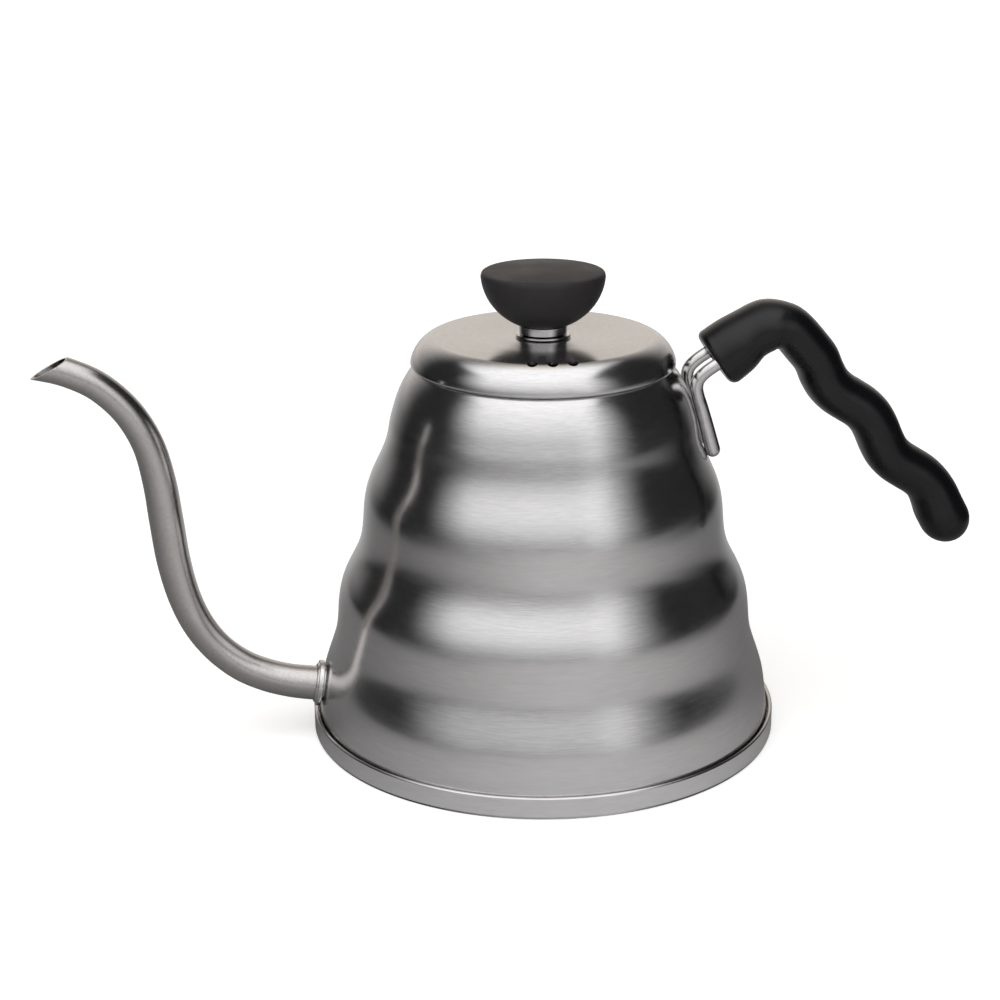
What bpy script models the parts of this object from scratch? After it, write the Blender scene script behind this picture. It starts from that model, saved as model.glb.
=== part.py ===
"""Gooseneck kettle: lobed steel body, S-shaped spout, lift-off lid, black grip on two rods.

The frame has +Z up, the spout towards -X and the grip towards +X. The origin is the
centre of the base, on the surface that the kettle stands on. Lengths are in metres.
"""

import math

import bmesh
import bpy
from mathutils import Matrix, Vector

MM = 0.001
GAP = 0.3 * MM  # clearance kept between touching pieces
DOME_SWEEP = 84  # degrees covered by a rounded end before its small flat tip

# Body: a cone with a swell on it, whose crests and grooves make the four lobes.
CONE_RADIUS = 74.5 * MM  # of the cone at the foot
CONE_TAPER = 0.30  # radius lost per unit of height
SWELL = [  # (height, swell) in mm at each crest and groove
    (4.7, -2.3), (19.7, -0.5), (29.2, -0.8), (46.7, 1.75),
    (59.7, -0.15), (77.7, 2.45), (92.2, 0.75), (100.2, 1.4),
]
SHOULDER_START = 103.3 * MM
SHOULDER_END = 117.7 * MM
SHOULDER_DROP = 7.2 * MM
BODY_FOOT = 1.6 * MM
FOOT_RADIUS = 70.3 * MM  # the wall stands straight inside the base pan
WALL = 0.8 * MM
NECK_ROLL = 0.95 * MM  # radius of the rolled edge round the filling hole
NECK_ROLL_CENTRE = (37.6 * MM, 114.6 * MM)
NECK_LIP_END = 112.2 * MM
TURNS = 40  # facets round the body, lid and base
SHOULDER_HEIGHTS = (114.1, 112.3, 109.9, 106.9, 103.3)  # mm, outline rings above the lobes
LOBE_TOP = 99.2 * MM
LOBE_STEP = 4.64 * MM
LOBE_RINGS = 20

# Base pan
PAN_RADIUS = 72.0 * MM
PAN_HEIGHT = 6.7 * MM
PAN_RIM_WIDTH = 1.3 * MM
PAN_FLOOR = 1.0 * MM
PAN_HEEL = 0.5 * MM  # rounding of the lower edge
PAN_GROOVE_RADIUS = 64.2 * MM  # pressed ring in the underside
PAN_GROOVE = [(1.4, 0), (0.8, 0.5), (-0.8, 0.5), (-1.4, 0)]  # its section, (out, up) in mm

# Lid and knob
LID_SEAT = 115.2 * MM  # height of the lid's hem
LID_RADIUS = 39.8 * MM
LID_CENTRE_TOP = 123.6 * MM
LID_TOP = 123.8 * MM
LID_DISH_RADIUS = 16.0 * MM  # the middle is a little lower inside this
LID_HEM = [(0.25, 0.25), (0.7, 0), (1.05, 0.1)]  # (in, up) mm from its outermost, lowest corner
LID_FLAT_RADIUS = 32.9 * MM
LID_CORNER_FOOT = 116.0 * MM
LID_CORNER_POWER = 1.62
SKIRT_RADIUS = 36.2 * MM
SKIRT_TOP = 121.0 * MM
SKIRT_FOOT = 106.7 * MM
SKIRT_WALL = 0.7 * MM
SKIRT_CURL = 1.2 * MM  # radius of the turned-in foot
VENT_RADIUS = 1.6 * MM
VENT_CIRCLE = 33.2 * MM
VENT_ANGLES = (-103.3, -93.3, -83.3)  # degrees from +X
KNOB_TURNS = 32
KNOB_RINGS = 11
KNOB_RADIUS = 18.6 * MM
KNOB_TOP = 144.3 * MM
KNOB_FOOT = 127.5 * MM
KNOB_BOWL_CENTRE = 143.0 * MM
KNOB_BOWL_DEPTH = 17.1 * MM
KNOB_CROWN = [(0, 0), (12, 0.3), (16.4, 0.9), (17.7, 1.3), (18.4, 1.9)]  # (radius, below its top) in mm
KNOB_POCKET_TOP = 137.0 * MM
FOOT_RING = (8.3 * MM, 123.9 * MM, 124.5 * MM)  # radius, low and high
FERRULE = (7.2 * MM, 124.8 * MM, 127.2 * MM)
WASHER = (5.5 * MM, 121.7 * MM, 122.5 * MM)
INSERT = (3.5 * MM, 127.7 * MM, 136.7 * MM)
SCREW_RADIUS = 2.0 * MM
SCREW_HEAD_THICKNESS = 2.2 * MM
RECESS = (4.4 * MM, 1.0 * MM)  # length and width of the cross recess's arms
KNOB_SCREW_SEAT = 121.4 * MM
KNOB_SCREW_LENGTH = 14.5 * MM
KNOB_SCREW_HEAD = 3.9 * MM

# Spout: (x, z, diameter) along its centre line, from inside the body to beyond the mouth.
SPOUT_LINE = [
    (-67.6, 14.8, 10.6), (-73.5, 15.6, 10.5), (-79.5, 16.7, 10.3), (-86.4, 18.9, 10.1),
    (-93.8, 22.7, 9.8), (-100.8, 28.9, 9.5), (-106.2, 36.8, 9.6), (-110.0, 46.4, 9.8),
    (-112.5, 58.0, 10.1), (-113.9, 70.6, 10.2), (-115.3, 83.2, 9.9), (-118.0, 95.0, 9.4),
    (-123.3, 105.1, 9.1), (-131.0, 112.9, 8.9), (-139.5, 117.4, 8.7), (-147.5, 119.8, 8.8),
    (-155.0, 121.2, 9.0),
]
SPOUT_WALL = 0.7 * MM
MOUTH_LOW = (-150.1 * MM, 116.0 * MM)  # the slanted mouth runs between these two edges
MOUTH_HIGH = (-139.7 * MM, 121.6 * MM)
COLLAR_RADIUS = 7.1 * MM
COLLAR_THICKNESS = 1.6 * MM
COLLAR_LIP = 0.6 * MM
COLLAR_CENTRE = Vector((-70.15 * MM, 0, 15.25 * MM))
COLLAR_AXIS = Vector((-0.986, 0, 0.165))

# Handle: two round rods, y = +-ROD_SPACING / 2, points are (x, z) from the grip to the body
ROD_RADIUS = 2.1 * MM
ROD_SPACING = 14.2 * MM
ROD_LINE = [
    (66.4, 123.4), (60.0, 119.9), (53.0, 115.6), (48.7, 112.8), (46.3, 110.4),
    (45.6, 107.9), (46.1, 105.1), (47.3, 101.5), (48.9, 96.3), (51.3, 88.1),
]
# Grip: (x, z, half thickness) over its arch, then a straight run with finger waves.
GRIP_ARCH = [
    (53.1, 114.3, 9.7), (58.7, 118.7, 9.1), (63.3, 122.2, 8.0), (68.0, 124.4, 7.9), (72.3, 124.5, 7.3),
    (76.3, 122.7, 7.1),
]
GRIP_RIM = 1.4 * MM  # rounding round the face
GRIP_SIDES = 20
GRIP_WIDTH_RATIO = (1.10, 1.33)  # width over thickness at the face and along the waves
GRIP_WIDTH_SPAN = (52 * MM, 70 * MM)  # from one to the other between these x
WAVE_START = (79.3 * MM, 119.0 * MM)
WAVE_ANGLE = math.radians(-48.8)
WAVE_LEAD = 3.0 * MM  # left free so that the arch can blend into the waves
WAVE_SETTLE = 9.0 * MM
WAVE_LENGTH = 76.0 * MM
WAVE_PITCH = 30.5 * MM
WAVE_HEIGHT = 1.55 * MM
WAVE_PHASE = 24.5 * MM
WAVE_DROP = 0.6 * MM
WAVE_RINGS = 18
GRIP_THICKNESS = 7.1 * MM  # half of it, along the waves
TAIL_THICKNESS = 7.8 * MM
TAIL_SWELL = (61 * MM, 73 * MM)  # run over which the tail thickens
PLATE_CENTRE = (61.2 * MM, 120.55 * MM)
PLATE_SLOPE = math.radians(-28.5)  # about +Y, so that the plate lies along the rods
PLATE_SIZE = (9.0 * MM, 9.2 * MM, 2.0 * MM)
GRIP_SCREW_SEAT = 6.1 * MM  # from the plate's middle down to the underside of the screw's head
GRIP_SCREW_HEAD = 3.6 * MM


def material(name, colour, roughness, metallic):
    made = bpy.data.materials.new(name)
    made.use_nodes = True
    shader = made.node_tree.nodes["Principled BSDF"]
    shader.inputs["Base Color"].default_value = (*colour, 1.0)
    shader.inputs["Roughness"].default_value = roughness
    shader.inputs["Metallic"].default_value = metallic
    return made


def steel(name, roughness=0.32):
    return material(name, (0.62, 0.61, 0.60), roughness, 1.0)


def black_plastic(name):
    return material(name, (0.018, 0.018, 0.020), 0.42, 0.0)


def link(obj, collection, finish=None, parent=None):
    collection.objects.link(obj)
    if finish:
        obj.data.materials.append(finish)
    if parent:
        obj.parent = parent
        obj.matrix_parent_inverse = parent.matrix_world.inverted()
    return obj


def empty(name, location, collection, parent=None):
    obj = bpy.data.objects.new(name, None)
    obj.location = location
    link(obj, collection, parent=parent)
    bpy.context.view_layer.update()
    return obj


def outline_object(name, points, closed):
    """A chain of edges in the XZ plane, from (radius, height) points."""
    mesh = bpy.data.meshes.new(name)
    edges = [(i, i + 1) for i in range(len(points) - 1)]
    if closed:
        edges.append((len(points) - 1, 0))
    mesh.from_pydata([(radius, 0.0, height) for radius, height in points], edges, [])
    return bpy.data.objects.new(name, mesh)


def turn(obj, steps):
    screw = obj.modifiers.new("turn", "SCREW")
    screw.steps = steps
    screw.render_steps = steps
    screw.use_merge_vertices = True
    screw.merge_threshold = 0.00001
    screw.use_smooth_shade = True
    return obj


def turned(name, points, steps, closed=True):
    """A turned solid. Its points run down the outer side, top to bottom, and up the inner side."""
    return turn(outline_object(name, points, closed), steps)


def ring(name, outer, inner, low, high, steps, edge):
    """A plain turned ring with its outer edges cut off by edge."""
    points = [(inner, high), (outer - edge, high), (outer, high - edge)]
    points += [(outer, low + edge), (outer - edge, low), (inner, low)]
    return turned(name, points, steps)


def arc(centre, radius, start, end, count):
    """Points of an arc, angles in degrees from +X towards +Z."""
    angles = [math.radians(start + (end - start) * i / (count - 1)) for i in range(count)]
    return [(centre[0] + radius * math.cos(a), centre[1] + radius * math.sin(a)) for a in angles]


def beyond(first, second):
    """The point as far before first as second is after it."""
    return [2 * a - b for a, b in zip(first, second)]


def blend(a, b, c, d, t):
    """Catmull-Rom value at t between b and c."""
    bend = (c - a) * t + (2 * a - 5 * b + 4 * c - d) * t**2 + (3 * b - a - 3 * c + d) * t**3
    return b + bend / 2


def smooth_line(points, per_span):
    """Catmull-Rom curve through points of any dimension."""
    padded = [beyond(points[0], points[1]), *points, beyond(points[-1], points[-2])]
    found = []
    for i in range(len(points) - 1):
        for step in range(per_span):
            found.append(tuple(blend(*four, step / per_span) for four in zip(*padded[i : i + 4])))
    found.append(tuple(points[-1]))
    return found


def dome_end(line, steps):
    """The line with a rounded end: points closing in on its tip with a shrinking radius."""
    (x0, z0, _), (x1, z1, radius) = line[-2], line[-1]
    length = math.hypot(x1 - x0, z1 - z0)
    dx, dz = (x1 - x0) / length, (z1 - z0) / length
    found = list(line)
    for i in range(1, steps + 1):
        angle = math.radians(DOME_SWEEP) * i / steps
        ahead = radius * math.sin(angle)
        found.append((x1 + dx * ahead, z1 + dz * ahead, radius * math.cos(angle)))
    return found


def rim_start(line, rounding, steps):
    """The line with a flat face at its start and a rounded rim behind it."""
    (x0, z0, radius), (x1, z1, _) = line[0], line[1]
    length = math.hypot(x1 - x0, z1 - z0)
    dx, dz = (x1 - x0) / length, (z1 - z0) / length
    found = []
    for i in range(steps + 1):
        angle = math.pi / 2 * i / steps
        ahead = rounding * (1 - math.cos(angle))
        found.append((x0 + dx * ahead, z0 + dz * ahead, radius - rounding * (1 - math.sin(angle))))
    return found + list(line[1:])


def tube_mesh(name, line, y, sides, capped):
    """A round tube's surface as a mesh, from (x, z, radius) points in the plane at y."""
    curve = bpy.data.curves.new(name, "CURVE")
    curve.dimensions = "3D"
    curve.bevel_depth = 1.0
    curve.bevel_resolution = sides // 2 - 2
    curve.use_fill_caps = capped
    spline = curve.splines.new("POLY")
    spline.points.add(len(line) - 1)
    for point, (x, z, radius) in zip(spline.points, line):
        point.co = (x, y, z, 1.0)
        point.radius = radius
    guide = bpy.data.objects.new(name + "_guide", curve)
    bpy.context.scene.collection.objects.link(guide)
    bpy.context.view_layer.update()
    mesh = bpy.data.meshes.new_from_object(guide.evaluated_get(bpy.context.evaluated_depsgraph_get()))
    bpy.data.objects.remove(guide)
    bpy.data.curves.remove(curve)
    shape = bmesh.new()
    shape.from_mesh(mesh)
    bmesh.ops.remove_doubles(shape, verts=shape.verts, dist=0.00001)
    bmesh.ops.recalc_face_normals(shape, faces=shape.faces)
    shape.to_mesh(mesh)
    shape.free()
    mesh.name = name
    return mesh


def round_shading(obj, degrees=35):
    obj.data.shade_smooth()
    obj.data.set_sharp_from_angle(angle=math.radians(degrees))
    return obj


def cutter(name, collection, radius, length, location, direction, sides=16):
    """A cylinder that removes material, centred on location along direction."""
    mesh = bpy.data.meshes.new(name)
    shape = bmesh.new()
    bmesh.ops.create_cone(
        shape, cap_ends=True, segments=sides, radius1=radius, radius2=radius, depth=length
    )
    turn_to = Vector((0, 0, 1)).rotation_difference(Vector(direction)).to_matrix().to_4x4()
    bmesh.ops.transform(shape, matrix=Matrix.Translation(location) @ turn_to, verts=shape.verts)
    shape.to_mesh(mesh)
    shape.free()
    return hide_cutter(bpy.data.objects.new(name, mesh), collection)


def box_mesh(name, size, location, turn_y, edge=0.0):
    mesh = bpy.data.meshes.new(name)
    shape = bmesh.new()
    bmesh.ops.create_cube(shape, size=1.0, matrix=Matrix.Diagonal((*size, 1.0)))
    if edge:
        bmesh.ops.bevel(shape, geom=shape.edges[:], offset=edge, segments=2, affect="EDGES")
    place = Matrix.Translation(location) @ Matrix.Rotation(turn_y, 4, "Y")
    bmesh.ops.transform(shape, matrix=place, verts=shape.verts)
    shape.to_mesh(mesh)
    shape.free()
    return mesh


def hide_cutter(obj, collection):
    collection.objects.link(obj)
    obj.hide_render = True
    obj.display_type = "WIRE"
    return obj


def cut(obj, *tools):
    for tool in tools:
        boolean = obj.modifiers.new("cut_" + tool.name, "BOOLEAN")
        boolean.operation = "DIFFERENCE"
        boolean.solver = "EXACT"
        boolean.object = tool
    return obj


def solidify(obj, thickness):
    wall = obj.modifiers.new("wall", "SOLIDIFY")
    wall.thickness = thickness
    wall.offset = -1.0
    wall.use_even_offset = True
    return obj


def swell_at(height):
    """Height of the lobes above the cone, eased from each crest to the next groove."""
    knots = [(z * MM, out * MM) for z, out in SWELL]
    if height <= knots[0][0]:
        return knots[0][1]
    for (low, start), (high, end) in zip(knots, knots[1:]):
        if height <= high:
            return start + (end - start) * (1 - math.cos(math.pi * (height - low) / (high - low))) / 2
    return knots[-1][1]


def eased(value, start, end):
    """0 before start, 1 after end and a smooth step between them."""
    share = min(1.0, max(0.0, (value - start) / (end - start)))
    return share * share * (3 - 2 * share)


def body_radius(height):
    radius = CONE_RADIUS - CONE_TAPER * height + swell_at(height)
    share = (height - SHOULDER_START) / (SHOULDER_END - SHOULDER_START)
    if share > 0:
        radius -= SHOULDER_DROP * (1 - math.sqrt(1 - share**2))
    return min(radius, FOOT_RADIUS)


def body_shell(parts, cutters, parent):
    lip = [(NECK_ROLL_CENTRE[0] - NECK_ROLL, NECK_LIP_END)]
    roll = arc(NECK_ROLL_CENTRE, NECK_ROLL, 180, 35, 6)
    heights = [height * MM for height in SHOULDER_HEIGHTS]
    heights += [LOBE_TOP - LOBE_STEP * i for i in range(LOBE_RINGS)]
    heights.append(BODY_FOOT)
    wall = [(body_radius(h), h) for h in heights]
    body = turned("body_shell", lip + roll + wall, TURNS, closed=False)
    solidify(body, WALL)
    root, ahead = SPOUT_LINE[0], SPOUT_LINE[2]
    hole = cutter(
        "spout_hole", cutters, root[2] / 2 * MM + GAP, 14 * MM,
        (root[0] * MM, 0, root[1] * MM), (ahead[0] - root[0], 0, ahead[1] - root[1]), 24,
    )
    return link(cut(body, hole), parts, steel("body_steel"), parent)


def base_pan(parts, parent):
    bead = PAN_RIM_WIDTH / 2
    rim = arc((PAN_RADIUS - bead, PAN_HEIGHT - bead), bead, 180, 0, 7)
    heel = arc((PAN_RADIUS - PAN_HEEL, PAN_HEEL), PAN_HEEL, 0, -90, 3)
    groove = [(PAN_GROOVE_RADIUS + out * MM, up * MM) for out, up in PAN_GROOVE]
    raised = [(radius, height + PAN_FLOOR) for radius, height in reversed(groove)]
    inner = PAN_RADIUS - PAN_RIM_WIDTH
    points = rim + heel + groove + [(0, 0), (0, PAN_FLOOR)] + raised + [(inner, PAN_FLOOR)]
    return link(turned("base_pan", points, TURNS), parts, steel("pan_steel", 0.28), parent)


def spout_points():
    return [(x * MM, z * MM, d / 2 * MM) for x, z, d in smooth_line(SPOUT_LINE, 2)]


def spout_tube(parts, parent):
    mesh = tube_mesh("spout_tube", spout_points(), 0, 14, False)
    low, high = Vector((MOUTH_LOW[0], 0, MOUTH_LOW[1])), Vector((MOUTH_HIGH[0], 0, MOUTH_HIGH[1]))
    along = (high - low).normalized()
    shape = bmesh.new()
    shape.from_mesh(mesh)
    everything = shape.verts[:] + shape.edges[:] + shape.faces[:]
    bmesh.ops.bisect_plane(
        shape, geom=everything, plane_co=low, plane_no=(-along.z, 0, along.x), clear_outer=True
    )
    shape.to_mesh(mesh)
    shape.free()
    spout = bpy.data.objects.new("spout_tube", mesh)
    round_shading(solidify(spout, SPOUT_WALL))
    return link(spout, parts, steel("spout_steel", 0.34), parent)


def spout_collar(parts, parent):
    inner = SPOUT_LINE[0][2] / 2 * MM + GAP
    outer = COLLAR_RADIUS
    high, low = COLLAR_THICKNESS / 2, -COLLAR_THICKNESS / 2
    lip = high + COLLAR_LIP
    points = [(inner, lip), (inner + 0.35 * MM, lip), (inner + 0.6 * MM, high), (outer - 0.4 * MM, high)]
    points += [(outer, high - 0.4 * MM), (outer, low + 0.2 * MM), (outer - 0.2 * MM, low), (inner, low)]
    collar = turned("spout_collar", points, 28)
    collar.rotation_euler = Vector((0, 0, 1)).rotation_difference(COLLAR_AXIS).to_euler()
    collar.location = COLLAR_CENTRE
    return link(collar, parts, steel("collar_steel", 0.25), parent)


def rod_points():
    return [(x * MM, z * MM, ROD_RADIUS) for x, z in smooth_line(ROD_LINE, 2)]


def handle_rods(parts, parent):
    for name, side in (("handle_rod_left", -1), ("handle_rod_right", 1)):
        mesh = tube_mesh(name, dome_end(rod_points(), 3), side * ROD_SPACING / 2, 12, True)
        rod = round_shading(bpy.data.objects.new(name, mesh))
        link(rod, parts, steel(name + "_steel", 0.22), parent)


def grip_points():
    arch = [(x * MM, z * MM, half * MM) for x, z, half in GRIP_ARCH]
    along = Vector((math.cos(WAVE_ANGLE), math.sin(WAVE_ANGLE)))
    across = Vector((-along.y, along.x))
    waves = []
    for i in range(WAVE_RINGS):
        run = WAVE_LEAD + (WAVE_LENGTH - WAVE_LEAD) * i / (WAVE_RINGS - 1)
        wave = WAVE_HEIGHT * math.sin(math.tau * (run - WAVE_PHASE) / WAVE_PITCH) - WAVE_DROP
        place = Vector(WAVE_START) + along * run + across * wave * min(1.0, run / WAVE_SETTLE)
        half = GRIP_THICKNESS + (TAIL_THICKNESS - GRIP_THICKNESS) * eased(run, *TAIL_SWELL)
        waves.append((place.x, place.y, half))
    return dome_end(smooth_line(arch, 2)[:-1] + waves, 5)


def grip_width_ratio(x):
    face, waves = GRIP_WIDTH_RATIO
    return face + (waves - face) * eased(x, *GRIP_WIDTH_SPAN)


def grip(parts, cutters, parent):
    mesh = tube_mesh("grip", rim_start(grip_points(), GRIP_RIM, 3), 0, GRIP_SIDES, True)
    for vert in mesh.vertices:
        vert.co.y *= grip_width_ratio(vert.co.x)
    obj = bpy.data.objects.new("grip", mesh)
    cut(obj, *grip_sockets(cutters))
    return link(round_shading(obj), parts, black_plastic("grip_plastic"), parent)


def grip_sockets(cutters):
    """Holes for the rods, a slot for the plate that ties them, and a stepped hole for the screw."""
    tools = []
    for side in (-1, 1):
        line = [(x, z, radius + GAP) for x, z, radius in rod_points()[:7]]
        first, second = Vector(line[0][:2]), Vector(line[1][:2])
        start = first + (first - second).normalized() * 0.8 * MM
        line = [(start.x, start.y, line[0][2])] + line[1:]
        mesh = tube_mesh("rod_socket", line, side * ROD_SPACING / 2, 12, True)
        tools.append(hide_cutter(bpy.data.objects.new("rod_socket", mesh), cutters))
    lane = (PLATE_SIZE[0] + 14 * MM, PLATE_SIZE[1] + 2 * GAP, PLATE_SIZE[2] + 2 * GAP)
    centre = plate_point(PLATE_SIZE[0] / 2 + GAP - lane[0] / 2, 0)
    mesh = box_mesh("plate_slot", lane, centre, PLATE_SLOPE)
    tools.append(hide_cutter(bpy.data.objects.new("plate_slot", mesh), cutters))
    down = plate_down()
    shank = plate_point(0, -12 * MM)
    tools.append(cutter("screw_hole", cutters, SCREW_RADIUS + GAP, 26 * MM, shank, down, 12))
    head = plate_point(0, GAP - GRIP_SCREW_SEAT) + down * 6 * MM
    tools.append(cutter("head_hole", cutters, GRIP_SCREW_HEAD + 2 * GAP, 12 * MM, head, down, 20))
    return tools


def plate_down():
    return Vector((-math.sin(PLATE_SLOPE), 0, -math.cos(PLATE_SLOPE)))


def plate_point(along, up):
    """A point in the plate's own frame: along the rods towards the tail, and up from its middle."""
    ahead = Vector((math.cos(PLATE_SLOPE), 0, -math.sin(PLATE_SLOPE)))
    return Vector((PLATE_CENTRE[0], 0, PLATE_CENTRE[1])) + ahead * along - plate_down() * up


def rod_tie_plate(parts, cutters, parent):
    mesh = box_mesh("rod_tie_plate", PLATE_SIZE, plate_point(0, 0), PLATE_SLOPE)
    plate = bpy.data.objects.new("rod_tie_plate", mesh)
    hole = cutter("plate_hole", cutters, SCREW_RADIUS + 0.2 * MM, 8 * MM, plate_point(0, 0), plate_down(), 12)
    return link(cut(plate, hole), parts, steel("plate_steel", 0.4), parent)


def pan_screw(name, parts, cutters, head_at, along, length, head_radius, finish, parent):
    """A pan-head screw with a cross recess. Its head's underside is at head_at and its shank runs along."""
    thick = SCREW_HEAD_THICKNESS
    chamfer = 0.5 * MM
    shank = [(0, length), (SCREW_RADIUS - chamfer, length)]
    shank += [(SCREW_RADIUS, length - chamfer), (SCREW_RADIUS, 0)]
    head = [(head_radius, 0)]
    for angle in map(math.radians, (90, 63, 34)):
        head.append((head_radius * math.sin(angle), -thick * (0.35 + 0.65 * math.cos(angle))))
    head.append((0, -thick))
    screw = turned(name, shank + head, 20, closed=False)
    turn_to = Vector((0, 0, 1)).rotation_difference(along).to_matrix().to_4x4()
    place = Matrix.Translation(head_at) @ turn_to
    screw.matrix_world = place
    long, wide = RECESS
    for index, size in enumerate(((long, wide), (wide, long))):
        mesh = box_mesh(f"{name}_slot{index}", (*size, thick), (0, 0, -thick), 0)
        slot = hide_cutter(bpy.data.objects.new(f"{name}_slot{index}", mesh), cutters)
        slot.matrix_world = place
        cut(screw, slot)
    return link(screw, parts, finish, parent)


def grip_screw(parts, cutters, parent):
    head_at = plate_point(0, -GRIP_SCREW_SEAT)
    finish = steel("grip_screw_steel", 0.3)
    length = GRIP_SCREW_SEAT + PLATE_SIZE[2] / 2
    up = -plate_down()
    return pan_screw("grip_screw", parts, cutters, head_at, up, length, GRIP_SCREW_HEAD, finish, parent)


def lid_corner(flat_radius, edge_radius, top, foot, count):
    """The rounded corner of the lid from its flat top down to its edge."""
    found = []
    for i in range(count):
        across = math.sin(math.pi / 2 * i / (count - 1))
        fall = (1 - across**LID_CORNER_POWER) ** (1 / LID_CORNER_POWER)
        found.append((flat_radius + (edge_radius - flat_radius) * across, foot + (top - foot) * fall))
    return found


def lid_shell(parts, cutters, parent):
    hole = SCREW_RADIUS + GAP
    dish = [(hole, LID_CENTRE_TOP), (LID_DISH_RADIUS, LID_CENTRE_TOP)]
    outer = dish + lid_corner(LID_FLAT_RADIUS, LID_RADIUS, LID_TOP, LID_CORNER_FOOT, 9)
    hem = [(LID_RADIUS - inward * MM, LID_SEAT + up * MM) for inward, up in LID_HEM]
    inner = lid_corner(LID_FLAT_RADIUS, LID_RADIUS - WALL, LID_TOP - WALL, LID_CORNER_FOOT + GAP, 8)
    under = [(radius, height - WALL) for radius, height in reversed(dish)]
    lid = turned("lid_shell", outer + hem + inner[::-1] + under, TURNS)
    for index, angle in enumerate(VENT_ANGLES):
        turn_to = math.radians(angle)
        place = (VENT_CIRCLE * math.cos(turn_to), VENT_CIRCLE * math.sin(turn_to), LID_TOP)
        cut(lid, cutter(f"vent_{index + 1}", cutters, VENT_RADIUS, 8 * MM, place, (0, 0, 1), 14))
    return link(lid, parts, steel("lid_steel", 0.3), parent)


def lid_skirt(parts, parent):
    curl = (SKIRT_RADIUS - SKIRT_CURL, SKIRT_FOOT + SKIRT_CURL)
    outside = arc(curl, SKIRT_CURL, 0, -90, 4)
    inside = arc(curl, SKIRT_CURL - SKIRT_WALL, -90, 0, 3)
    points = [(SKIRT_RADIUS, SKIRT_TOP), *outside, *inside, (SKIRT_RADIUS - SKIRT_WALL, SKIRT_TOP)]
    return link(turned("lid_skirt", points, TURNS), parts, steel("skirt_steel", 0.3), parent)


def knob(parts, parent):
    crown = [(radius * MM, KNOB_TOP - below * MM) for radius, below in KNOB_CROWN]
    start, end = math.radians(4), math.acos(FERRULE[0] / KNOB_RADIUS)
    bowl = []
    for i in range(KNOB_RINGS):
        angle = start + (end - start) * i / (KNOB_RINGS - 1)
        height = KNOB_BOWL_CENTRE - KNOB_BOWL_DEPTH * math.sin(angle)
        bowl.append((KNOB_RADIUS * math.cos(angle), max(height, KNOB_FOOT)))
    pocket = INSERT[0] + GAP
    inside = [(pocket, KNOB_FOOT), (pocket, KNOB_POCKET_TOP), (0, KNOB_POCKET_TOP)]
    obj = turned("knob", crown + bowl + inside, KNOB_TURNS, closed=False)
    return link(obj, parts, black_plastic("knob_plastic"), parent)


def knob_fixings(parts, cutters, parent):
    brass = material("insert_brass", (0.72, 0.50, 0.22), 0.3, 1.0)
    rings = (
        ("knob_foot_ring", FOOT_RING, 28, 0.2 * MM, steel("foot_ring_steel", 0.15)),
        ("knob_ferrule", FERRULE, 28, 0.15 * MM, steel("ferrule_steel", 0.2)),
        ("knob_washer", WASHER, 20, 0.1 * MM, steel("washer_steel", 0.3)),
        ("knob_insert", INSERT, 20, 0.2 * MM, brass),
    )
    for name, (outer, low, high), steps, edge, finish in rings:
        link(ring(name, outer, SCREW_RADIUS + GAP, low, high, steps, edge), parts, finish, parent)
    finish = steel("knob_screw_steel", 0.3)
    seat = Vector((0, 0, KNOB_SCREW_SEAT))
    up = Vector((0, 0, 1))
    pan_screw("knob_screw", parts, cutters, seat, up, KNOB_SCREW_LENGTH, KNOB_SCREW_HEAD, finish, parent)


def build():
    for obj in list(bpy.data.objects):
        bpy.data.objects.remove(obj)
    parts = bpy.data.collections.new("gooseneck_kettle")
    cutters = bpy.data.collections.new("cutters")
    for collection in (parts, cutters):
        bpy.context.scene.collection.children.link(collection)
    kettle = empty("kettle", (0, 0, 0), parts)
    lid = empty("lid", (0, 0, LID_SEAT), parts, kettle)
    body_shell(parts, cutters, kettle)
    base_pan(parts, kettle)
    spout_tube(parts, kettle)
    spout_collar(parts, kettle)
    handle_rods(parts, kettle)
    grip(parts, cutters, kettle)
    rod_tie_plate(parts, cutters, kettle)
    grip_screw(parts, cutters, kettle)
    lid_shell(parts, cutters, lid)
    lid_skirt(parts, lid)
    knob(parts, lid)
    knob_fixings(parts, cutters, lid)


build()
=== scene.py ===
"""Gooseneck kettle: lobed brushed-steel body, satin spout, lift-off lid, black grip and knob.

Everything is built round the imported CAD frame: +Z is up, the spout points to -X and the grip
to +X, and the origin is the middle of the base. Lengths are in metres unless a name says mm.
"""

import math

import bmesh
import bpy
from mathutils import Matrix, Vector


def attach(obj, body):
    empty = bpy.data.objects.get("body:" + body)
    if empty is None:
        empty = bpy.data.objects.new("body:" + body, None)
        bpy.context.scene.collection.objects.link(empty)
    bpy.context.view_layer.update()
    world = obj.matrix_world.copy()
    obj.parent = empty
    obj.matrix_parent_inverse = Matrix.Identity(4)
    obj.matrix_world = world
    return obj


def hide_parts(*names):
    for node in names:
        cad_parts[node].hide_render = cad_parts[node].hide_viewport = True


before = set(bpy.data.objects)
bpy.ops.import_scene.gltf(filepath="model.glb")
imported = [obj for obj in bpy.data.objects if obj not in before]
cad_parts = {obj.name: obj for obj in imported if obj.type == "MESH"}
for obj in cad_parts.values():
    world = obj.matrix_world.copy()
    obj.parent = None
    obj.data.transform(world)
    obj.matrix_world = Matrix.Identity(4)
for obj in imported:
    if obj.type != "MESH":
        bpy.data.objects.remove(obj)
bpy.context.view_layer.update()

MM = 0.001
GAP = 0.3 * MM
ON_AXIS = 0.000001  # a radius smaller than this is a point on the axis

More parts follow.
